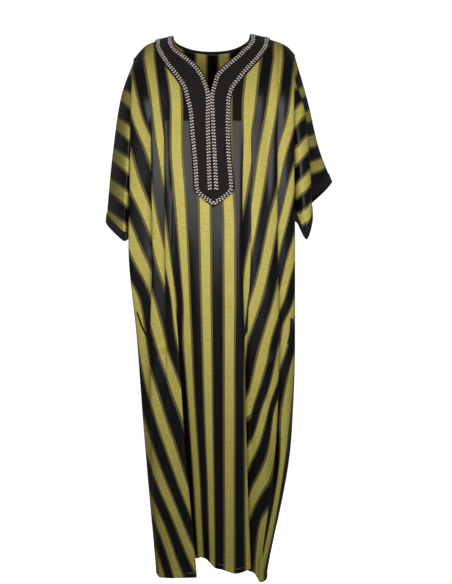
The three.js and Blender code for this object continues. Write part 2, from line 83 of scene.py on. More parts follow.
# Folds of the front, from the side seam at -X to the one at +X. The pocket drape is up to 11 mm from
# where the solids have it, the middle panel's edge up to 5 mm and the side drape up to 3 mm.
# x at LEVELS, out from the chest down, over for the side that lies on top, step for the tucked one
FRONT_FOLDS = [
    dict(name="side seam", x=[-210, -200, -198, -202, -197, -180, -150], seam=True, hem=-1390),
    dict(name="hollow by the sleeve", x=[-208, -203, -201, -199, -184, -166, -135],
         out=[86, 84, 80, 52, 46, 48], hem=-1394),
    dict(name="edge over the sleeve", x=[-204, -212, -214, -218, -195, -177, -146],
         out=[104, 102, 96, 90, 92, 100], hem=-1400),
    dict(name="armhole drape", x=[-166, -158, -157, -155, -160, -158, -136],
         out=[120, 128, 126, 128, 138, 158], over="right", step=[0, 10, 16, 20, 14, 5],
         hem=-1406, hem_under=-1406),
    dict(name="chest drape", x=[-128, -124, -123, -122, -118, -112, -92],
         out=[125, 138, 140, 144, 160, 184], over="right", step=[0, 10, 12, 6, 0, 0],
         hem=-1404, hem_under=-1405),
    dict(name="long front fold", x=[-98, -103, -105, -104, -87, -71, -39],
         out=[127, 141, 146, 152, 168, 190], over="left", step=[0, 0, 5, 18, 40, 60],
         hem=-1402, hem_under=-1340),
    dict(name="beside the band", x=[-62, -62, -62, -62, -56, -44, -20],
         out=[128, 143, 148, 147, 146, 142], hem=-1358),
    dict(name="middle", x=[-6, -4, 0, 3, 5, 8, 14], out=[130, 146, 151, 153, 156, 158], hem=-1384),
    dict(name="middle panel", x=[46, 46, 46, 46, 48, 54, 62],
         out=[129, 144, 150, 153, 158, 163], hem=-1396),
    dict(name="middle panel edge", x=[84, 80, 78, 78, 84, 88, 100],
         out=[127, 141, 147, 150, 157, 160], over="left", step=[0, 4, 10, 18, 28, 36],
         hem=-1384, hem_under=-1390),
    dict(name="pocket drape", x=[110, 104, 102, 101, 92, 102, 109],
         out=[124, 137, 143, 144, 138, 126], over="right", step=[0, 6, 12, 8, 0, 0],
         hem=-1400, hem_under=-1396),
    dict(name="side panel", x=[140, 138, 136, 136, 140, 142, 117],
         out=[121, 133, 138, 143, 148, 124], hem=-1412),
    dict(name="side drape", x=[174, 169, 169, 170, 174, 167, 122],
         out=[114, 122, 123, 126, 132, 134], over="left", step=[4, 12, 14, 20, 20, 0],
         hem=-1421, hem_under=-1422),
    dict(name="side roll", x=[196, 193, 193, 193, 199, 195, 136],
         out=[109, 110, 108, 106, 110, 126], hem=-1420),
    dict(name="edge over the sleeve", x=[216, 213, 214, 216, 216, 207, 144],
         out=[103, 101, 95, 88, 86, 96], hem=-1412),
    dict(name="hollow by the sleeve", x=[222, 207, 203, 202, 205, 197, 131],
         out=[86, 84, 80, 52, 48, 50], hem=-1402),
    dict(name="side seam", x=[224, 204, 199, 203, 218, 210, 145], seam=True, hem=-1394),
]
BACK_FOLDS = [
    dict(name="side seam", x=FRONT_FOLDS[0]["x"], seam=True, hem=-1390),
    dict(name="hollow by the sleeve", x=[-208, -203, -201, -199, -182, -164, -134],
         out=[80, 80, 76, 48, 44, 46], hem=-1394),
    dict(name="edge over the sleeve", x=[-204, -209, -211, -212, -190, -172, -142],
         out=[96, 98, 94, 88, 90, 98], hem=-1400),
    dict(name="blade drape", x=[-152, -146, -142, -138, -136, -132, -116],
         out=[112, 120, 116, 114, 122, 134], over="right", step=[2, 10, 16, 22, 22, 18],
         hem=-1404, hem_under=-1402),
    dict(name="left back panel", x=[-104, -102, -98, -92, -88, -84, -74],
         out=[118, 128, 124, 122, 130, 142], hem=-1398),
    dict(name="long back fold", x=[-58, -58, -56, -54, -50, -46, -36],
         out=[120, 130, 127, 126, 136, 150], over="left", step=[0, 0, 8, 20, 30, 40],
         hem=-1396, hem_under=-1384),
    dict(name="middle", x=[0, 0, 0, 2, 4, 6, 8], out=[118, 127, 120, 114, 116, 122], hem=-1388),
    dict(name="second back fold", x=[54, 54, 56, 58, 62, 64, 58],
         out=[119, 129, 126, 124, 132, 144], over="right", step=[0, 4, 12, 20, 28, 34],
         hem=-1396, hem_under=-1388),
    dict(name="right back panel", x=[104, 102, 102, 102, 104, 104, 84],
         out=[117, 126, 124, 123, 130, 142], hem=-1402),
    dict(name="blade drape", x=[154, 150, 148, 148, 152, 150, 112],
         out=[110, 118, 116, 114, 120, 132], over="left", step=[2, 8, 14, 20, 22, 16],
         hem=-1408, hem_under=-1408),
    dict(name="edge over the sleeve", x=[213, 210, 211, 212, 208, 199, 140],
         out=[96, 98, 94, 88, 90, 98], hem=-1406),
    dict(name="hollow by the sleeve", x=[221, 207, 203, 202, 203, 194, 130],
         out=[80, 80, 76, 48, 44, 46], hem=-1400),
    dict(name="side seam", x=FRONT_FOLDS[-1]["x"], seam=True, hem=-1394),
]

# Stripes are counted in repeats of the cloth from the middle of the front: a light stripe is
# centred on each half count and a black one on each whole count.
# For each fold: the count just left of it and just right of it, at STRIPE_LEVELS.
STRIPE_LEVELS = [-60, -200, -300, -400, -500, -600, -700, -760, -800, -900, -1000, -1150, -1300, -1400]
FRONT_STRIPES = {
    2: [[-3.1, -3.7, -4.27, -4.7, -5.4, -5.95, -6.6, -6.7, -6.72, -6.96, -7.32, -8.08, -9.1, -9.95]],
    3: [[-2.5, -2.8, -3.47, -3.95, -4.49, -5.15, -5.77, -5.95, -6.06, -6.4, -6.96, -7.83, -8.95, -9.6],
        [-2.5, -2.8, -3.02, -3.28, -3.55, -3.91, -4.45, -4.73, -4.95, -5.4, -5.96, -6.83, -7.95, -8.6]],
    4: [[-1.77, -2.07, -2.37, -2.68, -3.03, -3.42, -3.88, -4.11, -4.25, -4.76, -5.19, -6.01, -7.02, -7.58],
        [-1.77, -2.07, -2.0, -2.12, -2.35, -2.7, -3.22, -3.2, -3.25, -3.76, -4.19, -5.01, -6.02, -6.58]],
    5: [[-1.3, -1.68, -1.7, -1.83, -2.0, -2.2, -2.45, -2.55, -2.65, -3.18, -3.68, -4.17, -5.06, -5.75],
        [-1.3, -1.68, -1.7, -1.83, -2.0, -2.2, -2.35, -2.1, -2.0, -2.13, -2.19, -2.12, -2.0, -1.9]],
    6: [[-0.9, -0.99, -1.02, -1.13, -1.21, -1.28, -1.31, -1.33, -1.34, -1.35, -1.37, -1.42, -1.33, -1.28]],
    7: [[-0.3, -0.28, -0.25, -0.2, -0.17, -0.16, -0.155, -0.16, -0.16, -0.155, -0.14, -0.13, -0.1, -0.05]],
    8: [[0.64, 0.67, 0.67, 0.62, 0.52, 0.52, 0.52, 0.53, 0.54, 0.58, 0.63, 0.71, 0.77, 0.81]],
    9: [[1.1, 1.27, 1.15, 1.06, 1.04, 1.05, 1.1, 1.19, 1.23, 1.3, 1.33, 1.4, 1.5, 1.52],
        [1.1, 1.29, 1.29, 1.5, 1.81, 2.12, 2.42, 2.68, 3.4, 3.92, 4.72, 5.8, 6.94, 7.2]],
    10: [[1.5, 1.61, 1.66, 1.88, 2.18, 2.54, 2.82, 3.1, 3.75, 4.13, 4.8, 6.1, 7.06, 7.26],
         [1.5, 1.61, 1.95, 2.18, 2.45, 2.82, 3.25, 3.53, 3.75, 4.13, 4.8, 6.1, 7.06, 7.26]],
    11: [[1.88, 2.23, 2.51, 2.76, 3.12, 3.5, 3.93, 4.28, 4.47, 4.97, 5.78, 6.55, 7.42, 7.42]],
    12: [[2.49, 2.75, 3.07, 3.26, 3.74, 4.1, 4.56, 4.93, 5.25, 5.78, 6.68, 6.8, 7.62, 7.56],
         [2.49, 2.75, 3.23, 3.62, 4.26, 4.78, 5.49, 6.07, 6.2, 6.85, 7.12, 6.78, 7.05, 7.2]],
    13: [[2.89, 3.16, 3.67, 4.23, 4.74, 5.35, 5.99, 6.56, 6.74, 7.33, 7.6, 7.78, 7.64, 7.78]],
    14: [[3.25, 3.53, 4.06, 4.66, 5.2, 5.78, 6.42, 6.95, 7.1, 7.77, 7.84, 8.1, 8.0, 8.1]],
}
BACK_STRIPES = {
    2: [[-3.1, -3.6, -4.1, -4.5, -5.0, -5.5, -6.1, -6.3, -6.5, -6.9, -7.2, -7.9, -8.8, -9.5]],
    3: [[-2.4, -2.7, -3.1, -3.5, -3.9, -4.3, -4.8, -5.0, -5.2, -5.7, -6.1, -6.8, -7.8, -8.4],
        [-2.3, -2.5, -2.7, -2.9, -3.1, -3.4, -3.8, -4.0, -4.1, -4.6, -5.0, -5.7, -6.6, -7.2]],
    4: [[-1.65, -1.72, -1.8, -1.9, -2.0, -2.15, -2.4, -2.55, -2.65, -3.0, -3.4, -4.0, -4.8, -5.3]],
    5: [[-0.95, -0.98, -1.0, -1.03, -1.1, -1.2, -1.35, -1.45, -1.55, -1.85, -2.2, -2.7, -3.4, -3.9],
        [-0.95, -0.96, -0.96, -0.95, -0.94, -0.92, -0.9, -0.9, -0.88, -0.85, -0.8, -0.78, -0.75, -0.7]],
    6: [[0.0, 0.0, 0.0, 0.0, 0.0, 0.0, 0.0, 0.0, 0.0, 0.0, 0.0, 0.0, 0.0, 0.0]],
    7: [[0.88, 0.88, 0.9, 0.9, 0.92, 0.93, 0.95, 0.96, 0.97, 0.98, 1.0, 1.0, 0.95, 0.9],
        [0.88, 0.92, 1.0, 1.1, 1.25, 1.4, 1.6, 1.7, 1.8, 2.1, 2.4, 2.9, 3.5, 4.0]],
    8: [[1.65, 1.7, 1.85, 2.0, 2.2, 2.4, 2.65, 2.8, 2.9, 3.2, 3.6, 4.1, 4.7, 5.1]],
    9: [[2.35, 2.5, 2.7, 2.95, 3.2, 3.5, 3.8, 4.0, 4.15, 4.5, 4.9, 5.5, 6.1, 6.4],
         [2.4, 2.65, 3.0, 3.4, 3.8, 4.3, 4.8, 5.1, 5.3, 5.8, 6.2, 6.7, 7.1, 7.3]],
    10: [[3.25, 3.5, 4.0, 4.5, 5.0, 5.6, 6.2, 6.6, 6.8, 7.3, 7.6, 7.9, 8.0, 8.1]],
}

ARMHOLES = dict(right=dict(top=-57, bottom=-350, out=70), left=dict(top=-49, bottom=-350, out=70))

# Lines along a sleeve, as in the solids. stripe counts the repeats at the armhole and each station.
RIGHT_SLEEVE_LINES = [
    dict(half="front", start=0, to=[[-240, 8, -147], [-265, 18, -305], [-283, 30, -486]]),
    dict(half="front", start=0.08, to=[[-236, -22, -156], [-259, -14, -318], [-274, -6, -499]]),
    dict(half="front", start=0.18, to=[[-228, -52, -172], [-248, -48, -334], [-261, -42, -512]]),
    dict(half="front", start=0.32, to=[[-219, -76, -196], [-236, -77, -354], [-246, -74, -526]]),
    dict(half="front", start=0.52, to=[[-212, -88, -262], [-224, -94, -388], [-230, -94, -539]]),
    dict(half="front", start=0.8, to=[[-208, -62, -356], [-216, -68, -446], [-224, -66, -536]]),
    dict(half="front", start=1, to=[[-206, 0, -396], [-213, 0, -458], [-219, 0, -526]]),
    dict(half="back", start=0.8, to=[[-208, 60, -356], [-215, 66, -440], [-222, 66, -522]]),
    dict(half="back", start=0.5, to=[[-216, 86, -250], [-232, 94, -380], [-242, 96, -512]]),
    dict(half="back", start=0.14, to=[[-234, 48, -165], [-256, 64, -322], [-272, 76, -496]]),
]
LEFT_SLEEVE_LINES = [
    dict(half="front", start=0, to=[[252, 6, -163], [283, 10, -292], [317, 14, -380]],
         stripe=[3.25, 4.9, 6.87, 8.34]),
    dict(half="front", start=0.08, to=[[246, -18, -172], [270, -20, -304], [294, -18, -402]],
         stripe=[3.3, 4.95, 6.94, 8.5]),
    dict(half="front", start=0.15, to=[[236, -44, -180], [248, -48, -318], [258, -50, -432]],
         stripe=[3.4, 5.03, 7.04, 8.6]),
    dict(half="front", start=0.2, to=[[240, -60, -186], [255, -78, -330], [261, -90, -484]],
         stripe=[3.3, 4.44, 6.02, 7.85]),
    dict(half="front", start=0.5, to=[[221, -88, -262], [230, -100, -398], [246, -100, -535]],
         stripe=[4.2, 4.97, 6.49, 8.33]),
    dict(half="front", start=0.8, to=[[210, -64, -352], [217, -72, -420], [224, -76, -494]],
         stripe=[5.13, 5.8, 6.6, 7.66]),
    dict(half="front", start=1, to=[[207, 0, -390], [212, 0, -436], [217, 0, -484]],
         stripe=[5.75, 6.5, 7.3, 8.2]),
    dict(half="back", start=0.8, to=[[210, 60, -348], [217, 68, -408], [224, 68, -470]],
         stripe=[5.13, 6.2, 7.2, 8.4]),
    dict(half="back", start=0.5, to=[[222, 84, -244], [238, 94, -350], [252, 96, -446]],
         stripe=[4.2, 5.4, 7.0, 8.5]),
    dict(half="back", start=0.14, to=[[244, 46, -176], [272, 60, -304], [300, 66, -402]],
         stripe=[3.3, 5.0, 6.9, 8.5]),
]
# On the right sleeve the stripes run straight across the arm's own slope
RIGHT_SLEEVE_SLOPE = (-0.64, -0.77)
RIGHT_SLEEVE_REPEAT = 67.8
RIGHT_SLEEVE_SHOULDER_COUNT = -0.47

# Neck band, as x and height from the shoulder down to the point of the placket
BAND_RIGHT = dict(
    inner=[[-104, 3], [-105, -15], [-92, -38], [-69, -56], [-45, -78], [-24, -105], [-13, -130],
           [-6.4, -153], [-5.2, -225], [-2.4, -302], [0.6, -380], [2.0, -412], [2.6, -430], [2.9, -437]],
    outer=[[-150, -8], [-150, -32], [-133, -68], [-112, -98], [-92, -124], [-77, -150], [-69, -180],
           [-61, -212], [-58, -262], [-52.5, -325], [-49, -380], [-46, -411], [-21, -435], [2.9, -455]])
BAND_LEFT = dict(
    inner=[[100, 8], [99, -15], [75, -44], [54, -64], [28, -86], [9, -109], [3, -130],
           [-4.2, -155], [-3.4, -225], [-0.6, -302], [2.4, -380], [3.8, -412], [4.2, -430], [4.5, -437]],
    outer=[[152, -3], [148, -30], [125, -66], [100, -95], [75, -126], [57, -152], [48.5, -180],
           [47.5, -212], [47.5, -262], [51, -325], [57, -382], [57, -409], [30, -435], [4.5, -455]])
BAND_BACK = dict(
    inner=[[-104, 3], [-99, -9], [-60, -26], [0, -32], [58, -25], [95, -6], [100, 8]],
    outer=[[-150, -8], [-132, -50], [-72, -80], [0, -90], [72, -78], [130, -46], [152, -3]])
BAND_LIFT = 1.7
BAND_THICKNESS = 1.3
BRAID_WIDTH = 11
BRAID_EDGE_OFFSET = 3.5
INNER_BRAID_OFFSET = 1.8
INNER_BRAID_SHARE = 0.88
# How far the band turns in over the neck's edge, and the dark cord that lies on it
BAND_PAST_EDGE = 1.0
CORD_LIFT = 0.9
CORD_THICKNESS = 0.8
# Stitches of the braid: pairs of leaves, each as long, wide and thick as LEAF_SIZE
STITCH_PITCH = 7.9
STITCH_LIFT = 0.5
STITCH_SLOPE = -28
LEAF_SIZE = (6.1, 3.0, 2.0)
LEAF_ASIDE = 2.75
LEAF_ALONG = 0.75
# Lips of the side pockets, each from its top to its bottom. Their black is painted shade: it stands for the
# dark opening of each pocket, on a raised lip.
POCKET_SHADE_LIPS = dict(
    right=dict(inner=[[-194, -722], [-187, -743], [-177, -768], [-163, -792]],
               outer=[[-196, -726], [-190, -746], [-180, -772], [-166, -796]]),
    left=dict(inner=[[203, -740], [202, -762], [199, -785], [194, -806]],
              outer=[[208, -740], [207, -763], [204, -786], [199, -807]]))
LIP_LIFTS = [0.2, 1.4, 2.2, 2.6, 1.9]
LIP_THICKNESS = 1.2
# Facing behind the neck: its lower edge, how softly that ends, and how far it reaches to the sides
FACING_EDGE = -229
FACING_SOFT = 2
FACING_MIDDLE = -14
FACING_REACH = 98
FACING_FADE = 35
SATIN_ROUGHNESS = 0.3
FACED_ROUGHNESS = 0.85
WEAVE_ROUGHNESS = 0.62
# Cuffs
CUFF_HEIGHT = 24
CUFF_LIFT = 0.4
CUFF_THICKNESS = 1.2
CUFF_INSIDE = 0.8

# Studio, in metres and watts
ROOM_SIZE = (20, 20, 16)
FLOOR_HEIGHT = -1.47
AIR_LIGHT = 0.11
FILL_SPREAD = 140

# Fineness of the modelled cloth
COLUMN_GAP = 5.0
TUCK_COLUMNS = 8
LEAST_COLUMNS = 4
LEAST_SIDE_COLUMNS = 9
SIDE_GAPS = 2
PANEL_ROWS = 190
ROW_CROWDING = 1.25
LATTICE_TOP = 12
LATTICE_BOTTOM = -1436
LATTICE_STEP = 4.0
COLUMNS_PER_SLEEVE_LINE = 10
SLEEVE_RINGS = 70
CUFF_RINGS = 9
BAND_STEPS = 240
BACK_BAND_STEPS = 120
BAND_CROWDING = 1.35
EVEN_STEPS = 1.0
BAND_ROWS = 13
BRAID_ROWS = 5
LIP_STEPS = 30

# Searches and guards
TOP_SEARCH_ROUNDS = 24
TOP_SEARCH_STEP = 0.6
LEAST_FOLD_GAP = 6
LEAST_OUT = 0.3
TINY = 1e-8
# Share of a crease's length over which each of its ends fades
CREASE_FADE = 0.3
# How much upwards counts as outwards, on the shoulders
UPWARD_LEAN = 0.25

# Soft creases of the front: from (x, z) to (x, z), half width, and depth out of the cloth
FRONT_CREASES = [
    ((-190, -120), (-150, -330), 9, 2.2),
    ((-140, -60), (-112, -260), 10, 1.8),
    ((-70, -520), (-52, -860), 12, -2.4),
    ((30, -470), (34, -760), 10, 1.8),
    ((132, -560), (128, -700), 9, -3.0),
    ((60, -900), (74, -1350), 12, 3.6),
    ((-118, -190), (-112, -430), 8, -3.4),
    ((-84, -150), (-78, -480), 9, 1.6),
    ((-176, -380), (-150, -620), 10, -4.2),
    ((-40, -560), (-34, -1180), 11, 2.4),
    ((12, -620), (20, -1330), 12, -3.4),
    ((66, -430), (70, -820), 8, 1.4),
    ((96, -160), (92, -420), 8, 2.0),
    ((150, -110), (140, -480), 10, -3.6),
    ((186, -90), (178, -300), 9, 1.8),
    ((-110, -700), (-84, -1250), 13, -4.6),
    ((-165, -820), (-120, -1340), 12, 4.4),
    ((150, -840), (160, -1300), 12, -5.0),
    ((116, -900), (108, -1360), 10, 4.0),
    ((196, -820), (180, -1200), 10, 3.0),
    # short wrinkles where the pocket is tacked
    ((-152, -808), (-110, -782), 7, -4.6),
    ((-148, -826), (-106, -799), 6, 3.6),
    ((-140, -844), (-100, -818), 7, -4.0),
    ((130, -838), (168, -810), 7, -4.0),
    ((134, -868), (174, -844), 7, 3.4),
]
BACK_CREASES = [
    ((-170, -150), (-160, -420), 10, -2.4),
    ((-126, -90), (-118, -360), 9, 2.0),
    ((-82, -200), (-78, -640), 11, -1.8),
    ((-24, -160), (-22, -520), 10, 1.6),
    ((28, -240), (34, -760), 11, -2.0),
    ((80, -120), (80, -430), 9, 1.8),
    ((128, -160), (124, -600), 10, -2.2),
    ((180, -110), (172, -360), 9, 2.0),
    ((-112, -640), (-104, -1200), 12, 2.4),
    ((-30, -700), (-22, -1340), 13, -2.4),
    ((36, -860), (42, -1330), 10, 1.8),
    ((84, -640), (88, -1180), 12, -2.2),
    ((132, -760), (130, -1340), 12, 2.4),
    ((-166, -700), (-140, -1260), 12, -2.0),
]


def measured_curve(places, values):
    """Smooth curve through measured values that never overshoots them."""
    places = np.array(places, float)
    values = np.array(values, float)
    slopes = np.diff(values) / np.diff(places)
    before = slopes[:-1]
    after = slopes[1:]
    level = before * after <= 0
    inner = np.where(level, 0, 2 * before * after / np.where(level, 1, before + after))
    tangents = np.concatenate([slopes[:1], inner, slopes[-1:]])
    turn = 1 if places[-1] > places[0] else -1

    def read(place):
        place = np.asarray(place, float)
        i = np.clip(np.searchsorted(turn * places, turn * place) - 1, 0, len(places) - 2)
        span = places[i + 1] - places[i]
        t = np.clip((place - places[i]) / span, 0, 1)
        t2 = t * t
        t3 = t2 * t
        return ((2 * t3 - 3 * t2 + 1) * values[i] + (t3 - 2 * t2 + t) * span * tangents[i]
                + (3 * t2 - 2 * t3) * values[i + 1] + (t3 - t2) * span * tangents[i + 1])

    return read


def smooth_through(points, places, closed=False):
    """Centripetal curve through points (..., n, d), read at places counted in points."""
    count = points.shape[-2]
    places = np.asarray(places, float)
    if closed:
        i = np.floor(places).astype(int) % count
        t = places - np.floor(places)
        before, a, b, after = (points[..., (i + k) % count, :] for k in (-1, 0, 1, 2))
    else:
        i = np.clip(np.floor(places).astype(int), 0, count - 2)
        t = places - i
        first = 2 * points[..., :1, :] - points[..., 1:2, :]
        last = 2 * points[..., -1:, :] - points[..., -2:-1, :]
        padded = np.concatenate([first, points, last], axis=-2)
        before, a, b, after = (padded[..., i + k, :] for k in (0, 1, 2, 3))
    d0, d1, d2 = [np.maximum(np.linalg.norm(q - p, axis=-1, keepdims=True), TINY) ** 0.5
                  for p, q in ((before, a), (a, b), (b, after))]
    start = ((a - before) / d0 - (b - before) / (d0 + d1) + (b - a) / d1) * d1
    end = ((b - a) / d1 - (after - a) / (d1 + d2) + (after - b) / d2) * d1
    t = t[:, None]
    return (a + start * t + (-3 * a + 3 * b - 2 * start - end) * t ** 2
            + (2 * a - 2 * b + start + end) * t ** 3)


shoulder_height = measured_curve(SHOULDER_X, SHOULDER_Z)


def shoulder_round(x, z):
    """0 on the shoulder line, 1 where the cloth hangs straight."""
    top = shoulder_height(x)
    left = 1 - np.clip((top - z) / (top - CHEST), 0, 1)
    return (1 - left * left) ** SHOULDER_FULLNESS


def armhole_out(armhole, z):
    """How far out an armhole's edge stands at a height."""
    share = np.clip((armhole["top"] - z) / (armhole["top"] - armhole["bottom"]), 0, 1)
    return armhole["out"] * np.sin(np.pi * share) ** ARMHOLE_FULLNESS


def soft_step(t):
    t = np.clip(t, 0, 1)
    return t * t * (3 - 2 * t)


class Panel:
    """A front or back panel: its surface and its stripe counts on rows of constant height."""

    def __init__(self, folds, stripes, facing, neck, creases):
        self.facing = facing
        self.creases = creases
        self.neck_height = measured_curve(*neck)
        self.neck_from = neck[0][0]
        self.neck_to = neck[0][-1]
        self.z = np.arange(LATTICE_TOP, LATTICE_BOTTOM, -LATTICE_STEP)
        points, hems, counts_left, counts_right, tucks = [], [], [], [], []
        for number, fold in enumerate(folds):
            x = measured_curve(LEVELS, fold["x"])(self.z)
            counts = [measured_curve(STRIPE_LEVELS, row)(self.z) for row in stripes.get(number, [])]
            left = counts[0] if counts else np.full_like(x, np.nan)
            right = counts[-1] if counts else left
            if fold.get("seam"):
                armhole = ARMHOLES["right" if fold["x"][0] < 0 else "left"]
                out = armhole_out(armhole, self.z) / np.maximum(shoulder_round(x, self.z), LEAST_ROUND)
            else:
                out = measured_curve(FOLD_LEVELS, fold["out"])(self.z)
            lines = [(x, out)]
            line_hems = [fold["hem"]]
            if "over" in fold:
                step = measured_curve(FOLD_LEVELS, fold["step"])(self.z)
                turned = np.clip(step / FULL_TURN, 0, 1)
                towards = 1 if fold["over"] == "right" else -1
                aside = towards * (TUCK_SHARE * step - OPEN_SPREAD * (1 - turned))
                lines.append((x + aside, out - step))
                line_hems.append(fold["hem_under"])
                tucks.append(len(points))
                if towards > 0:
                    lines.reverse()
                    line_hems.reverse()
            points += lines
            hems += line_hems
            counts_left += [(left, x)] * len(lines)
            counts_right += [(right, x)] * len(lines)
        self.points = np.array(points).transpose(2, 0, 1)
        self.hems = np.array(hems, float)
        self.tucks = tucks
        self.counts_left = counts_left
        self.counts_right = counts_right
        self.places, self.gap_of = self.columns()
        surface = smooth_through(self.points, self.places)
        self.x = surface[..., 0]
        self.out = surface[..., 1]

    def columns(self):
        """Places of the columns, counted in fold points, and the columns of each gap between them."""
        middle = self.points[len(self.z) // 3, :, 0]
        places, gaps = [], []
        for i in range(len(middle) - 1):
            width = abs(middle[i + 1] - middle[i])
            near_side = i < SIDE_GAPS or i >= len(middle) - 1 - SIDE_GAPS
            least = LEAST_SIDE_COLUMNS if near_side else LEAST_COLUMNS
            many = TUCK_COLUMNS if i in self.tucks else max(least, round(width / COLUMN_GAP))
            gaps.append((len(places), len(places) + many))
            places += [i + c / many for c in range(many)]
        places.append(len(middle) - 1)
        return np.array(places), gaps

    def read(self, table, column, z):
        """Value of a table of the lattice at columns and heights."""
        row = np.clip((self.z[0] - z) / LATTICE_STEP, 0, len(self.z) - 1.001)
        low = row.astype(int)
        share = row - low
        return table[low, column] * (1 - share) + table[low + 1, column] * share

    def out_at(self, x, z, out):
        return np.maximum(out * shoulder_round(x, z), 0)

    def heights(self):
        """Heights of the top edge and the hem at each column."""
        columns = np.arange(len(self.places))
        z = np.zeros(len(columns))
        for _ in range(TOP_SEARCH_ROUNDS):
            x = self.read(self.x, columns, z)
            in_neck = (x > self.neck_from) & (x < self.neck_to)
            target = np.where(in_neck, self.neck_height(x) - NECK_EDGE_UNDER_BAND, shoulder_height(x))
            z = z + TOP_SEARCH_STEP * (target - z)
        i = np.minimum(self.places.astype(int), len(self.hems) - 2)
        bottom = self.hems[i] + (self.hems[i + 1] - self.hems[i]) * soft_step(self.places - i)
        return z, bottom

    def creased(self, x, z):
        """How far the soft creases push the cloth out."""
        total = np.zeros_like(x)
        for start, end, half_width, depth in self.creases:
            a = np.array(start, float)
            along = np.array(end, float) - a
            length = np.linalg.norm(along)
            along /= length
            dx = x - a[0]
            dz = z - a[1]
            down = (dx * along[0] + dz * along[1]) / length
            across = dx * along[1] - dz * along[0]
            fade = soft_step(down / CREASE_FADE) * soft_step((1 - down) / CREASE_FADE)
            total += depth * fade * np.exp(-(across / half_width) ** 2)
        return total

    def grid(self):
        """Columns by rows of surface points, from the top edge to the hem."""
        top, bottom = self.heights()
        shares = np.linspace(0, 1, PANEL_ROWS) ** ROW_CROWDING
        body = top[:, None] + (bottom + HEM_DEPTH + ABOVE_HEM_ROWS - top)[:, None] * shares
        z = np.concatenate([body, bottom[:, None] + np.array(HEM_ROWS)], axis=1)
        columns = np.arange(len(self.places))[:, None] * np.ones(z.shape[1], int)
        x = self.read(self.x, columns, z)
        out = self.read(self.out, columns, z) + self.creased(x, z)
        above_hem = z - bottom[:, None]
        out += HEM_STANDS_OUT * soft_step((HEM_DEPTH + HEM_EDGE_ABOVE - above_hem) / HEM_EDGE_SOFT)
        y = self.facing * self.out_at(x, z, out)
        return np.stack([x, y, z], axis=-1)

    def arc_shares(self, first, last):
        """Share of the way along the cloth at each column of a gap, on every row, and its length."""
        x = self.x[:, first:last + 1]
        y = self.out_at(x, self.z[:, None], self.out[:, first:last + 1])
        steps = np.hypot(np.diff(x, axis=1), np.diff(y, axis=1))
        along = np.concatenate([np.zeros((len(self.z), 1)), np.cumsum(steps, axis=1)], axis=1)
        return along / np.maximum(along[:, -1:], TINY), along[:, -1]

    def stripe_gaps(self):
        """For each gap between fold points: the stripe counts on its columns, how far across it each
        column is, and how many repeats wide it is. The counts of a tuck are left to its neighbours."""
        tables = []
        last_fold = len(self.gap_of) - 1
        known = [not np.isnan(c[0][0]) for c in self.counts_left]
        for gap, (first, last) in enumerate(self.gap_of):
            shares, length = self.arc_shares(first, last)
            counts = None
            if gap not in self.tucks and known[gap] and known[gap + 1]:
                start, start_x = self.counts_right[gap]
                end, end_x = self.counts_left[gap + 1]
                wide = np.maximum(np.abs(end_x - start_x), LEAST_FOLD_GAP) * np.sign(end_x - start_x)
                slope = (end - start) / wide
                from_start = self.x[:, first:last + 1] - start_x[:, None]
                counts = start[:, None] + slope[:, None] * from_start
            tables.append([counts, shares, length / STRIPE_REPEAT])
        # where no count was measured, the stripes run on from the neighbour nearer the middle
        for gap in sorted(range(len(tables)), key=lambda g: abs(g - last_fold / 2)):
            counts, shares, natural = tables[gap]
            if counts is not None or gap in self.tucks:
                continue
            if gap < last_fold / 2:
                end = tables[gap + 1][0][:, 0]
                tables[gap][0] = end[:, None] - (1 - shares) * natural[:, None]
            else:
                start = tables[gap - 1][0][:, -1]
                tables[gap][0] = start[:, None] + shares * natural[:, None]
        return tables


def cloth_mesh(name, grid, corner_uvs, closed=False, flip=False):
    """A mesh from a grid of points in millimetres, with the cloth's own coordinates at its corners."""
    columns, rows = grid.shape[:2]
    spans = columns if closed else columns - 1
    c, r = np.meshgrid(np.arange(spans), np.arange(rows - 1), indexing="ij")
    after = (c + 1) % columns
    quads = np.stack([c * rows + r, c * rows + r + 1, after * rows + r + 1, after * rows + r], axis=-1)
    if flip:
        quads = quads[..., ::-1]
        corner_uvs = corner_uvs[..., ::-1, :]
    mesh = bpy.data.meshes.new(name)
    mesh.from_pydata((grid.reshape(-1, 3) * MM).tolist(), [], quads.reshape(-1, 4).tolist())
    layer = mesh.uv_layers.new(name="cloth")
    layer.data.foreach_set("uv", corner_uvs.reshape(-1).astype(np.float32))
    mesh.polygons.foreach_set("use_smooth", np.ones(len(mesh.polygons), bool))
    piece = bpy.data.objects.new(name, mesh)
    bpy.context.scene.collection.objects.link(piece)
    return piece


def down_lengths(grid):
    """How far down the cloth each point of a grid is, in stripe repeats."""
    steps = np.linalg.norm(np.diff(grid, axis=1), axis=-1)
    start = np.abs(grid[:, :1, 2])
    return np.concatenate([start, start + np.cumsum(steps, axis=1)], axis=1) / STRIPE_REPEAT


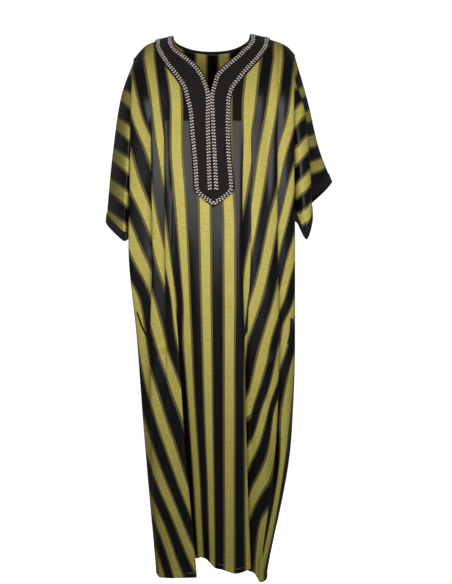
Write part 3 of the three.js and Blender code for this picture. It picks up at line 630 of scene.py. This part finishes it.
def panel_uvs(panel, grid):
    """Stripe counts and lengths at the corners of each face of a panel."""
    columns, rows = grid.shape[:2]
    counts = np.zeros((columns - 1, rows - 1, 4))
    z = grid[..., 2]
    tables = panel.stripe_gaps()
    for gap, (first, last) in enumerate(panel.gap_of):
        own, shares, natural = tables[gap]
        for column in range(first, last):
            at = []
            for side in (0, 1):
                k = column - first + side
                zc = z[column + side]
                if gap in panel.tucks:
                    left = panel.read(tables[gap - 1][0], tables[gap - 1][0].shape[1] - 1, zc)
                    right = panel.read(tables[gap + 1][0], 0, zc)
                    near = panel.read(natural[:, None], 0, zc)
                    at.append((left, right, panel.read(shares, k, zc), near))
                else:
                    at.append(panel.read(own, k, zc))
            for corner, (side, shift) in enumerate(((0, 0), (0, 1), (1, 1), (1, 0))):
                pick = slice(shift, rows - 1 + shift)
                if gap in panel.tucks:
                    left, right, share, near = at[side]
                    left0, right0, _, near0 = at[0]
                    whole = np.round((right0 - left0 - near0)[:-1])
                    counts[column, :, corner] = left[pick] + share[pick] * ((right - left)[pick] - whole)
                else:
                    counts[column, :, corner] = at[side][pick]
    down = down_lengths(grid)
    lengths = np.stack([down[:-1, :-1], down[:-1, 1:], down[1:, 1:], down[1:, :-1]], axis=-1)
    return np.stack([counts, lengths], axis=-1)


def apply_modifier(piece, kind, **settings):
    modifier = piece.modifiers.new(kind.title(), kind)
    for key, value in settings.items():
        setattr(modifier, key, value)
    bpy.ops.object.select_all(action="DESELECT")
    bpy.context.view_layer.objects.active = piece
    piece.select_set(True)
    bpy.ops.object.modifier_apply(modifier=modifier.name)
    piece.select_set(False)


def thicken(piece, thickness):
    """Gives a sheet its thickness, on its inner side."""
    apply_modifier(piece, "SOLIDIFY", thickness=thickness * MM, offset=-1, use_even_offset=False)


# Panels
front_panel = Panel(FRONT_FOLDS, FRONT_STRIPES, -1, (FRONT_NECK_X, FRONT_NECK_Z), FRONT_CREASES)
back_panel = Panel(BACK_FOLDS, BACK_STRIPES, 1, (BACK_NECK_X, BACK_NECK_Z), BACK_CREASES)
front_grid = front_panel.grid()
back_grid = back_panel.grid()


def armhole_edge(grid, side, share):
    """Point of an armhole's edge on one panel, from the shoulder to the underarm."""
    armhole = ARMHOLES[side]
    column = grid[0] if side == "right" else grid[-1]
    top = min(armhole["top"], column[0, 2])
    z = top + (armhole["bottom"] - top) * share
    heights = -column[:, 2]
    return np.array([np.interp(-z, heights, column[:, axis]) for axis in range(3)])


def sleeve_grid(lines, side):
    """Columns round a sleeve by rings from the armhole to the cuff."""
    many = COLUMNS_PER_SLEEVE_LINE
    starts = [line["start"] if line["half"] == "front" else 2 - line["start"] for line in lines] + [2]
    around = np.arange(len(lines) * many) / many
    rounds = np.interp(around, np.arange(len(starts)), starts)
    edges = np.array([armhole_edge(front_grid, side, r) if r <= 1 else armhole_edge(back_grid, side, 2 - r)
                      for r in rounds])
    stations = [smooth_through(np.array([line["to"][k] for line in lines], float), around, closed=True)
                for k in range(3)]
    inward = edges - stations[0]
    inward /= np.maximum(np.linalg.norm(inward, axis=1, keepdims=True), TINY)
    edges = edges + inward * SLEEVE_TUCKED_IN
    points = np.stack([edges] + stations, axis=1)
    return smooth_through(points, np.linspace(0, 3, SLEEVE_RINGS + 1))


def sleeve_counts(grid, lines, side):
    """Stripe counts on a sleeve's grid."""
    if side == "right":
        along = grid[..., 0] * RIGHT_SLEEVE_SLOPE[0] + grid[..., 2] * RIGHT_SLEEVE_SLOPE[1]
        return -(along / RIGHT_SLEEVE_REPEAT + RIGHT_SLEEVE_SHOULDER_COUNT)
    table = np.array([line["stripe"] for line in lines])
    table = np.concatenate([table, table[:1]])
    along = np.linspace(0, 3, grid.shape[1])
    per_line = np.array([measured_curve([0, 1, 2, 3], row)(along) for row in table])
    around = np.arange(grid.shape[0]) / COLUMNS_PER_SLEEVE_LINE
    low = around.astype(int)
    share = (around - low)[:, None]
    return per_line[low] * (1 - share) + per_line[low + 1] * share


def sleeve_uvs(counts, grid):
    """Stripe counts and lengths at the corners of each face of a tube."""
    down = down_lengths(grid)
    fields = []
    for field in (counts, down):
        after = np.roll(field, -1, axis=0)
        fields.append(np.stack([field[:, :-1], field[:, 1:], after[:, 1:], after[:, :-1]], axis=-1))
    return np.stack(fields, axis=-1)


def on_surface(panel, x, z):
    """Distance out of the panel's cloth at x and z, where no fold covers another."""
    row = np.clip((panel.z[0] - z) / LATTICE_STEP, 0, len(panel.z) - 1.001)
    low = row.astype(int)
    share = row - low
    found = []
    open_part = (panel.places >= 2) & (panel.places <= panel.points.shape[1] - 3)
    for r in (low, low + 1):
        found.append(np.array([np.interp(xi, panel.x[ri, open_part], panel.out[ri, open_part])
                               for xi, ri in zip(x.ravel(), r.ravel())]))
    out = found[0].reshape(x.shape) * (1 - share) + found[1].reshape(x.shape) * share
    return panel.facing * np.maximum(out * shoulder_round(x, z), LEAST_OUT)


def strip_points(panel, edges, steps, share_rows, crowding, lift=0.0, until=1.0):
    """Points on a strip between two edges: rows of shares by steps, lifted off the cloth."""
    t = np.linspace(0, until, steps + 1) ** crowding
    inner = np.array(edges["inner"], float)
    outer = np.array(edges["outer"], float)
    a = smooth_through(inner, t * (len(inner) - 1))
    b = smooth_through(outer, t * (len(outer) - 1))
    width = np.linalg.norm(b - a, axis=1)
    rows = []
    for share in share_rows:
        s = share(width)[:, None] if callable(share) else np.full((len(width), 1), share)
        rows.append(a + (b - a) * s)
    flat = np.array(rows)
    x = flat[..., 0]
    z = np.minimum(flat[..., 1], shoulder_height(x))
    y = on_surface(panel, x, z)
    points = np.stack([x, y, z], axis=-1)
    return lifted(points, lift, panel.facing) if lift else points


def grid_normals(points, facing):
    """Outward directions at the points of a grid."""
    across = np.gradient(points, axis=0)
    along = np.gradient(points, axis=1)
    normal = np.cross(across, along)
    normal /= np.maximum(np.linalg.norm(normal, axis=-1, keepdims=True), TINY)
    outward = np.sum(normal * np.array([0, facing, UPWARD_LEAN]), axis=-1, keepdims=True)
    return normal * np.where(outward < 0, -1, 1)


def lifted(points, lift, facing):
    return points + grid_normals(points, facing) * lift


# Materials
def linear(code):
    """sRGB hex to linear colour."""
    channels = [int(code[i:i + 2], 16) / 255 for i in (1, 3, 5)]
    return (*[c / 12.92 if c <= 0.04045 else ((c + 0.055) / 1.055) ** 2.4 for c in channels], 1)


def add_node(tree, kind, settings=None, stops=(), **inputs):
    """One node with its settings, a ramp's stops, and its inputs set or linked."""
    node = tree.nodes.new(kind)
    for key, value in (settings or {}).items():
        setattr(node, key, value)
    while stops and len(node.color_ramp.elements) < len(stops):
        node.color_ramp.elements.new(0.5)
    for number, (place, colour) in enumerate(stops):
        element = node.color_ramp.elements[number]
        element.position = place
        element.color = linear(colour) if isinstance(colour, str) else (colour, colour, colour, 1)
    for key, value in inputs.items():
        by_number = key[0] == "i" and key[1:].isdigit()
        socket = node.inputs[int(key[1:]) if by_number else key.replace("_", " ")]
        if isinstance(value, bpy.types.NodeSocket):
            tree.links.new(value, socket)
        else:
            socket.default_value = value
    return node


def new_material(name):
    material = bpy.data.materials.new(name)
    material.use_nodes = True
    tree = material.node_tree
    tree.nodes.clear()
    return material, tree


def finish_material(tree, **inputs):
    shader = add_node(tree, "ShaderNodeBsdfPrincipled", **inputs)
    add_node(tree, "ShaderNodeOutputMaterial", Surface=shader.outputs[0])


def fine_grain(tree, scale, stops):
    """Colour and height of a fine grain that keeps its size in space, scale spots to a metre."""
    place = add_node(tree, "ShaderNodeTexCoord")
    grain = add_node(tree, "ShaderNodeTexNoise", Vector=place.outputs["Object"], Scale=scale, Detail=2.0)
    colour = add_node(tree, "ShaderNodeValToRGB", stops=stops, Fac=grain.outputs["Fac"])
    return colour.outputs[0], grain.outputs["Fac"]


def striped_cloth():
    """Viscose satin with a slubbed linen-look stripe, woven in one width. The black stripes are
    smooth satin with a wide soft gloss, the light ones are plain weave with fine crosswise slubs,
    and between them a few mixed threads make a narrow brown edge."""
    material, tree = new_material("woven_viscose_satin_stripe")
    uv = add_node(tree, "ShaderNodeUVMap", dict(uv_map="cloth"))
    parts = add_node(tree, "ShaderNodeSeparateXYZ", Vector=uv.outputs[0])
    repeat = add_node(tree, "ShaderNodeMath", dict(operation="FRACT"), i0=parts.outputs["X"])
    from_middle = add_node(tree, "ShaderNodeMath", dict(operation="SUBTRACT"), i0=repeat.outputs[0], i1=0.5)
    distance = add_node(tree, "ShaderNodeMath", dict(operation="ABSOLUTE"), i0=from_middle.outputs[0])
    # slubs about 20 mm long and 2 mm thick, drawn a little coarser than they are woven
    slub_place = add_node(tree, "ShaderNodeMapping", Vector=uv.outputs[0], Scale=(3.2, 30, 1))
    slubs = add_node(tree, "ShaderNodeTexNoise", Vector=slub_place.outputs[0], Scale=1.0,
                     Detail=3.0, Roughness=0.6)
    long_place = add_node(tree, "ShaderNodeMapping", Vector=uv.outputs[0], Scale=(22, 1.2, 1))
    warp = add_node(tree, "ShaderNodeTexNoise", Vector=long_place.outputs[0], Scale=1.0, Detail=2.0)
    light = add_node(tree, "ShaderNodeValToRGB", Fac=slubs.outputs["Fac"],
                     stops=[(0.3, "#a39a47"), (0.5, "#b8ab54"), (0.72, "#c9bd67")])
    # distance from the middle of a light stripe, in repeats: 0.19 is 12.5 mm and 0.3 is 19.5 mm
    edge = add_node(tree, "ShaderNodeValToRGB", Fac=distance.outputs[0],
                    stops=[(0.19, "#77702f"), (0.225, "#5a522c"), (0.26, "#6a5f33"), (0.3, "#33291a")])
    edge_mask = add_node(tree, "ShaderNodeValToRGB", Fac=distance.outputs[0],
                         stops=[(0.187, 0.0), (0.2, 1.0)])
    black_mask = add_node(tree, "ShaderNodeValToRGB", Fac=distance.outputs[0],
                          stops=[(0.292, 0.0), (0.308, 1.0)])
    with_edge = add_node(tree, "ShaderNodeMix", dict(data_type="RGBA"), Factor=edge_mask.outputs[0],
                         i6=light.outputs[0], i7=edge.outputs[0])
    black = add_node(tree, "ShaderNodeValToRGB", Fac=warp.outputs["Fac"],
                     stops=[(0.3, "#070707"), (0.7, "#0e0d0d")])
    colour = add_node(tree, "ShaderNodeMix", dict(data_type="RGBA"), Factor=black_mask.outputs[0],
                      i6=with_edge.outputs["Result"], i7=black.outputs[0])
    # a facing is fused behind the neck; down to its lower edge the satin is dull
    place = add_node(tree, "ShaderNodeTexCoord")
    spot = add_node(tree, "ShaderNodeSeparateXYZ", Vector=place.outputs["Object"])
    above = add_node(tree, "ShaderNodeMapRange", Value=spot.outputs["Z"],
                     From_Min=(FACING_EDGE - FACING_SOFT) * MM, From_Max=(FACING_EDGE + FACING_SOFT) * MM)
    from_neck = add_node(tree, "ShaderNodeMath", dict(operation="SUBTRACT"), i0=spot.outputs["X"],
                         i1=FACING_MIDDLE * MM)
    beside = add_node(tree, "ShaderNodeMath", dict(operation="ABSOLUTE"), i0=from_neck.outputs[0])
    near_neck = add_node(tree, "ShaderNodeMapRange", Value=beside.outputs[0],
                         From_Min=FACING_REACH * MM, From_Max=(FACING_REACH + FACING_FADE) * MM,
                         To_Min=1.0, To_Max=0.0)
    in_front = add_node(tree, "ShaderNodeMath", dict(operation="LESS_THAN"), i0=spot.outputs["Y"], i1=0.0)
    on_front = add_node(tree, "ShaderNodeMath", dict(operation="MULTIPLY"), i0=above.outputs[0],
                        i1=in_front.outputs[0])
    faced = add_node(tree, "ShaderNodeMath", dict(operation="MULTIPLY"), i0=on_front.outputs[0],
                     i1=near_neck.outputs[0])
    satin = add_node(tree, "ShaderNodeMapRange", Value=faced.outputs[0],
                     From_Min=0.0, From_Max=1.0, To_Min=SATIN_ROUGHNESS, To_Max=FACED_ROUGHNESS)
    roughness = add_node(tree, "ShaderNodeMix", dict(data_type="FLOAT"), Factor=black_mask.outputs[0],
                         i2=WEAVE_ROUGHNESS, i3=satin.outputs[0])
    # thread relief: crosswise slubs on the light stripes, fine warp on the satin
    relief = add_node(tree, "ShaderNodeMix", dict(data_type="FLOAT"), Factor=black_mask.outputs[0],
                      i2=slubs.outputs["Fac"], i3=warp.outputs["Fac"])
    bump = add_node(tree, "ShaderNodeBump", Strength=0.25, Distance=0.0006,
                    Height=relief.outputs["Result"])
    tangent = add_node(tree, "ShaderNodeTangent", dict(direction_type="UV_MAP", uv_map="cloth"))
    finish_material(tree, Base_Color=colour.outputs["Result"], Roughness=roughness.outputs["Result"],
                    Normal=bump.outputs[0], Anisotropic=0.5, Tangent=tangent.outputs[0], IOR=1.48,
                    Specular_IOR_Level=0.5)
    return material


def knitted_band():
    """Matt black ribbed knit of the neck band and cuffs: nearly no gloss. On the pocket lips its black is
    painted shade of the pockets' openings. Its ribs are too fine to show, so the eye only gets a fine
    grain, with spots about 1 mm apart."""
    material, tree = new_material("ribbed_black_knit")
    colour, grain = fine_grain(tree, 900.0, [(0.3, "#0f0e0e"), (0.7, "#242221")])
    bump = add_node(tree, "ShaderNodeBump", Strength=0.5, Distance=0.0008, Height=grain)
    finish_material(tree, Base_Color=colour, Roughness=0.85, Normal=bump.outputs[0],
                    Sheen_Weight=0.08, Specular_IOR_Level=0.3)
    return material


def braid_thread():
    """Cream viscose braid thread: a soft silky gloss, and a tone that wanders every 2.5 mm."""
    material, tree = new_material("cream_viscose_thread")
    colour, _ = fine_grain(tree, 400.0, [(0.3, "#c8b6a8"), (0.5, "#e6dacd"), (0.7, "#f8f1e8")])
    finish_material(tree, Base_Color=colour, Roughness=0.5, Sheen_Weight=0.1)
    return material


def braid_ground():
    """Dark brown cord that the braid is worked over: dull, with spots about 1.4 mm apart."""
    material, tree = new_material("dark_braid_cord")
    colour, _ = fine_grain(tree, 700.0, [(0.3, "#150f10"), (0.7, "#2b2020")])
    finish_material(tree, Base_Color=colour, Roughness=0.8)
    return material


CLOTH = striped_cloth()
KNIT = knitted_band()
THREAD = braid_thread()
GROUND = braid_ground()


def dress(piece, material, slot, *nodes):
    """Gives a finished piece its material, hangs it under the root body and hides the imported parts it
    replaces.
    """
    piece.data.materials.clear()
    piece.data.materials.append(material)
    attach(piece, "root")
    if nodes:
        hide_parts(*nodes)


front_cloth = cloth_mesh("front_cloth", front_grid, panel_uvs(front_panel, front_grid))
back_cloth = cloth_mesh("back_cloth", back_grid, panel_uvs(back_panel, back_grid), flip=True)
for piece, node in ((front_cloth, "front"), (back_cloth, "back")):
    thicken(piece, CLOTH_THICKNESS)
    dress(piece, CLOTH, "striped_cloth", node)


def sewn_sleeve(side, lines):
    """One sleeve, and the grid of points that its cuff is sewn to."""
    grid = sleeve_grid(lines, side)
    uvs = sleeve_uvs(sleeve_counts(grid, lines, side), grid)
    sleeve = cloth_mesh(f"sleeve_{side}_cloth", grid, uvs, closed=True, flip=side == "left")
    thicken(sleeve, CLOTH_THICKNESS)
    dress(sleeve, CLOTH, "striped_cloth", f"sleeve_{side}")
    return sleeve, grid


def sewn_cuff(side, sleeve_points):
    """The black cuff, wrapped round the sleeve's end and a little way inside it."""
    ends = sleeve_points[:, -1]
    toward = sleeve_points[:, -CUFF_RINGS] - ends
    toward /= np.linalg.norm(toward, axis=1, keepdims=True)
    rows = [ends + toward * (CUFF_HEIGHT * share) for share in np.linspace(1, 0, CUFF_RINGS)]
    grid = np.stack(rows, axis=1)
    normal = np.cross(np.roll(ends, -1, axis=0) - np.roll(ends, 1, axis=0), toward)
    normal /= np.linalg.norm(normal, axis=1, keepdims=True)
    if np.sum(normal * (ends - ends.mean(axis=0))) < 0:
        normal = -normal
    grid = grid + normal[:, None] * (CUFF_LIFT + CUFF_THICKNESS)
    uvs = sleeve_uvs(grid[..., 2] * 0, grid)
    cuff = cloth_mesh(f"cuff_{side}_knit", grid, uvs, closed=True, flip=side == "left")
    thicken(cuff, CUFF_THICKNESS + CUFF_LIFT + CLOTH_THICKNESS + CUFF_INSIDE)
    dress(cuff, KNIT, "black_trim", f"cuff_{side}")
    return cuff


sleeves = {}
for side, lines in (("right", RIGHT_SLEEVE_LINES), ("left", LEFT_SLEEVE_LINES)):
    sleeves[side], sleeve_points = sewn_sleeve(side, lines)
    sewn_cuff(side, sleeve_points)

# Band, and the braid worked along both its edges: side, panel, edges, crowding and steps
BAND_PARTS = [
    ("right", front_panel, BAND_RIGHT, BAND_CROWDING, BAND_STEPS),
    ("left", front_panel, BAND_LEFT, BAND_CROWDING, BAND_STEPS),
    ("back", back_panel, BAND_BACK, EVEN_STEPS, BACK_BAND_STEPS),
]


def leaf_stitch():
    """One leaf of a braid stitch: a small sphere drawn out along X and flattened."""
    bpy.ops.object.select_all(action="DESELECT")
    bpy.ops.mesh.primitive_uv_sphere_add(segments=8, ring_count=5, radius=0.5, location=(0, 0, 0))
    leaf = bpy.context.object
    bpy.ops.object.mode_set(mode="EDIT")
    bpy.ops.mesh.select_all(action="SELECT")
    bpy.ops.transform.rotate(value=math.pi / 2, orient_axis="Y", center_override=(0, 0, 0))
    bpy.ops.transform.resize(value=[size * MM for size in LEAF_SIZE], center_override=(0, 0, 0))
    bpy.ops.object.mode_set(mode="OBJECT")
    points = np.array([v.co[:] for v in leaf.data.vertices])
    faces = [list(p.vertices) for p in leaf.data.polygons]
    bpy.data.objects.remove(leaf)
    return points, faces


LEAF_POINTS, LEAF_FACES = leaf_stitch()


def braid_row(name, line, across, normal):
    """Pairs of slanted leaves along a line, the second leaf of each pair a little lower."""
    steps = np.linalg.norm(np.diff(line, axis=0), axis=1)
    along = np.concatenate([[0], np.cumsum(steps)])
    count = int(along[-1] / STITCH_PITCH)
    places = (np.arange(count) + 0.5) * along[-1] / count
    fields = (line, across, normal, np.gradient(line, axis=0))
    centre, side, up, tangent = [
        np.stack([np.interp(places, along, field[:, k]) for k in range(3)], axis=1) for field in fields]
    tangent /= np.linalg.norm(tangent, axis=1, keepdims=True)
    side -= tangent * np.sum(side * tangent, axis=1, keepdims=True)
    side /= np.linalg.norm(side, axis=1, keepdims=True)
    up /= np.linalg.norm(up, axis=1, keepdims=True)
    points, faces = [], []
    local = LEAF_POINTS / MM
    tilt = math.radians(STITCH_SLOPE)
    for leaf in (-1, 1):
        long_axis = side * math.cos(tilt) + tangent * math.sin(tilt)
        short_axis = tangent * math.cos(tilt) - side * math.sin(tilt)
        middle = centre + side * (LEAF_ASIDE * leaf) + tangent * (LEAF_ALONG * leaf)
        for k in range(count):
            base = len(points) * len(LEAF_POINTS)
            points.append(middle[k] + local[:, :1] * long_axis[k] + local[:, 1:2] * short_axis[k]
                          + local[:, 2:] * up[k])
            faces += [[v + base for v in face] for face in LEAF_FACES]
    mesh = bpy.data.meshes.new(name)
    mesh.from_pydata((np.concatenate(points) * MM).tolist(), [], faces)
    mesh.polygons.foreach_set("use_smooth", np.ones(len(mesh.polygons), bool))
    piece = bpy.data.objects.new(name, mesh)
    bpy.context.scene.collection.objects.link(piece)
    return piece


def ribbon(name, points, panel, thickness):
    """A strip with thickness, facing out."""
    uvs = np.zeros((points.shape[0] - 1, points.shape[1] - 1, 4, 2))
    piece = cloth_mesh(name, points, uvs)
    sample = piece.data.polygons[len(piece.data.polygons) // 2]
    if sample.normal.y * panel.facing < 0:
        piece.data.flip_normals()
    thicken(piece, thickness)
    return piece


def past_inner_edge(width):
    return -BAND_PAST_EDGE / width


def inner_braid_line(across, width):
    """Share of a band's width at which a line of its inner braid lies; across goes from 0 to 1."""
    return (INNER_BRAID_OFFSET + BRAID_WIDTH * across) / width


def outer_braid_line(across, width):
    return 1 - (BRAID_EDGE_OFFSET + BRAID_WIDTH * (1 - across)) / width


trims = {"front": [], "back": []}
for side, panel, edges, crowding, steps in BAND_PARTS:
    trim = trims["back" if side == "back" else "front"]
    band_top = BAND_LIFT + BAND_THICKNESS
    shares = [past_inner_edge] + list(np.linspace(0, 1, BAND_ROWS)[1:])
    surface = strip_points(panel, edges, steps, shares, crowding, band_top)
    band = ribbon(f"band_{side}_knit", surface, panel, BAND_THICKNESS)
    dress(band, KNIT, "black_trim", f"band_{side}")
    trim.append(band)
    inner_end = 1.0 if side == "back" else INNER_BRAID_SHARE
    for row, braid_line, end in (("inner", inner_braid_line, inner_end), ("outer", outer_braid_line, 1.0)):
        spread = [partial(braid_line, across) for across in np.linspace(0, 1, BRAID_ROWS)]
        ground = strip_points(panel, edges, steps, spread, crowding, band_top + CORD_LIFT, end)
        normals = grid_normals(ground, panel.facing)
        cord = ribbon(f"braid_{row}_{side}_cord", ground, panel, CORD_THICKNESS)
        dress(cord, GROUND, "cream_braid", f"braid_{row}_{side}")
        middle = BRAID_ROWS // 2
        stitches = braid_row(f"braid_{row}_{side}_stitches", ground[middle] + normals[middle] * STITCH_LIFT,
                             ground[-1] - ground[0], normals[middle])
        dress(stitches, THREAD, "cream_braid")
        trim += [cord, stitches]


# Lips of the side pockets: raised strips in black knit, whose black is painted shade of the pockets'
# openings
for side, edges in POCKET_SHADE_LIPS.items():
    shares = np.linspace(0, 1, len(LIP_LIFTS))
    flat = strip_points(front_panel, edges, LIP_STEPS, shares, EVEN_STEPS)
    flat = flat + grid_normals(flat, front_panel.facing) * np.array(LIP_LIFTS)[:, None, None]
    lip = ribbon(f"pocket_shade_lip_{side}", flat, front_panel, LIP_THICKNESS)
    # the black knit on these lips is painted shade of the pocket's opening
    dress(lip, KNIT, "black_trim")
    trims["front"].append(lip)


# Pale floor and walls, and soft studio light
def studio():
    """A pale room round the garment. Only the camera sees it: it gives no light and no reflection."""
    bpy.ops.object.select_all(action="DESELECT")
    bpy.ops.mesh.primitive_cube_add(size=1, location=(0, 0, 0))
    room = bpy.context.object
    room.name = "pale_floor"
    bpy.ops.object.mode_set(mode="EDIT")
    bpy.ops.mesh.select_all(action="SELECT")
    bpy.ops.transform.resize(value=ROOM_SIZE, center_override=(0, 0, 0))
    bpy.ops.transform.translate(value=(0, 0, ROOM_SIZE[2] / 2 + FLOOR_HEIGHT))
    bpy.ops.mesh.flip_normals()
    bpy.ops.object.mode_set(mode="OBJECT")
    material, tree = new_material("pale_studio_paper")
    finish_material(tree, Base_Color=linear("#f7f6f4"), Roughness=0.9,
                    Emission_Color=linear("#ffffff"), Emission_Strength=0.97)
    room.data.materials.append(material)
    room.visible_glossy = False
    room.visible_diffuse = False


def soft_light(name, place, aim, size, watts, mirrored=True):
    """A rectangular light, in metres and watts. One that isn't mirrored leaves no gloss on the satin."""
    bpy.ops.object.light_add(type="AREA", location=place)
    lamp = bpy.context.object
    lamp.name = name
    lamp.data.shape = "RECTANGLE"
    lamp.data.size, lamp.data.size_y = size
    lamp.data.energy = watts
    way = np.array(aim) - np.array(place)
    lamp.rotation_euler = (math.atan2(math.hypot(way[0], way[1]), -way[2]), 0, math.atan2(-way[0], way[1]))
    lamp.visible_camera = False
    lamp.visible_glossy = mirrored
    return lamp


studio()
soft_light("key", (0.05, -1.9, 0.06), (0.05, 0.0, 0.06), (1.2, 1.0), 11.0)
fill = soft_light("fill", (0.04, -1.1, -0.4), (0.04, 0.0, -0.4), (0.7, 0.6), 4.9, mirrored=False)
fill.data.spread = math.radians(FILL_SPREAD)
soft_light("behind", (0.04, 1.7, -0.5), (0.04, 0.0, -0.5), (1.2, 1.2), 16, mirrored=False)

world = bpy.data.worlds.new("studio_air")
bpy.context.scene.world = world
world.use_nodes = True
world.node_tree.nodes["Background"].inputs[0].default_value = linear("#ffffff")
world.node_tree.nodes["Background"].inputs[1].default_value = AIR_LIGHT
bpy.context.scene.view_settings.view_transform = "Standard"

camera_data = bpy.data.cameras.new("camera")
camera_data.lens = CAMERA_LENS
camera = bpy.data.objects.new("camera", camera_data)
camera.location = CAMERA_PLACE
camera.rotation_euler = (math.radians(90), 0, 0)
bpy.context.scene.collection.objects.link(camera)
bpy.context.scene.camera = camera
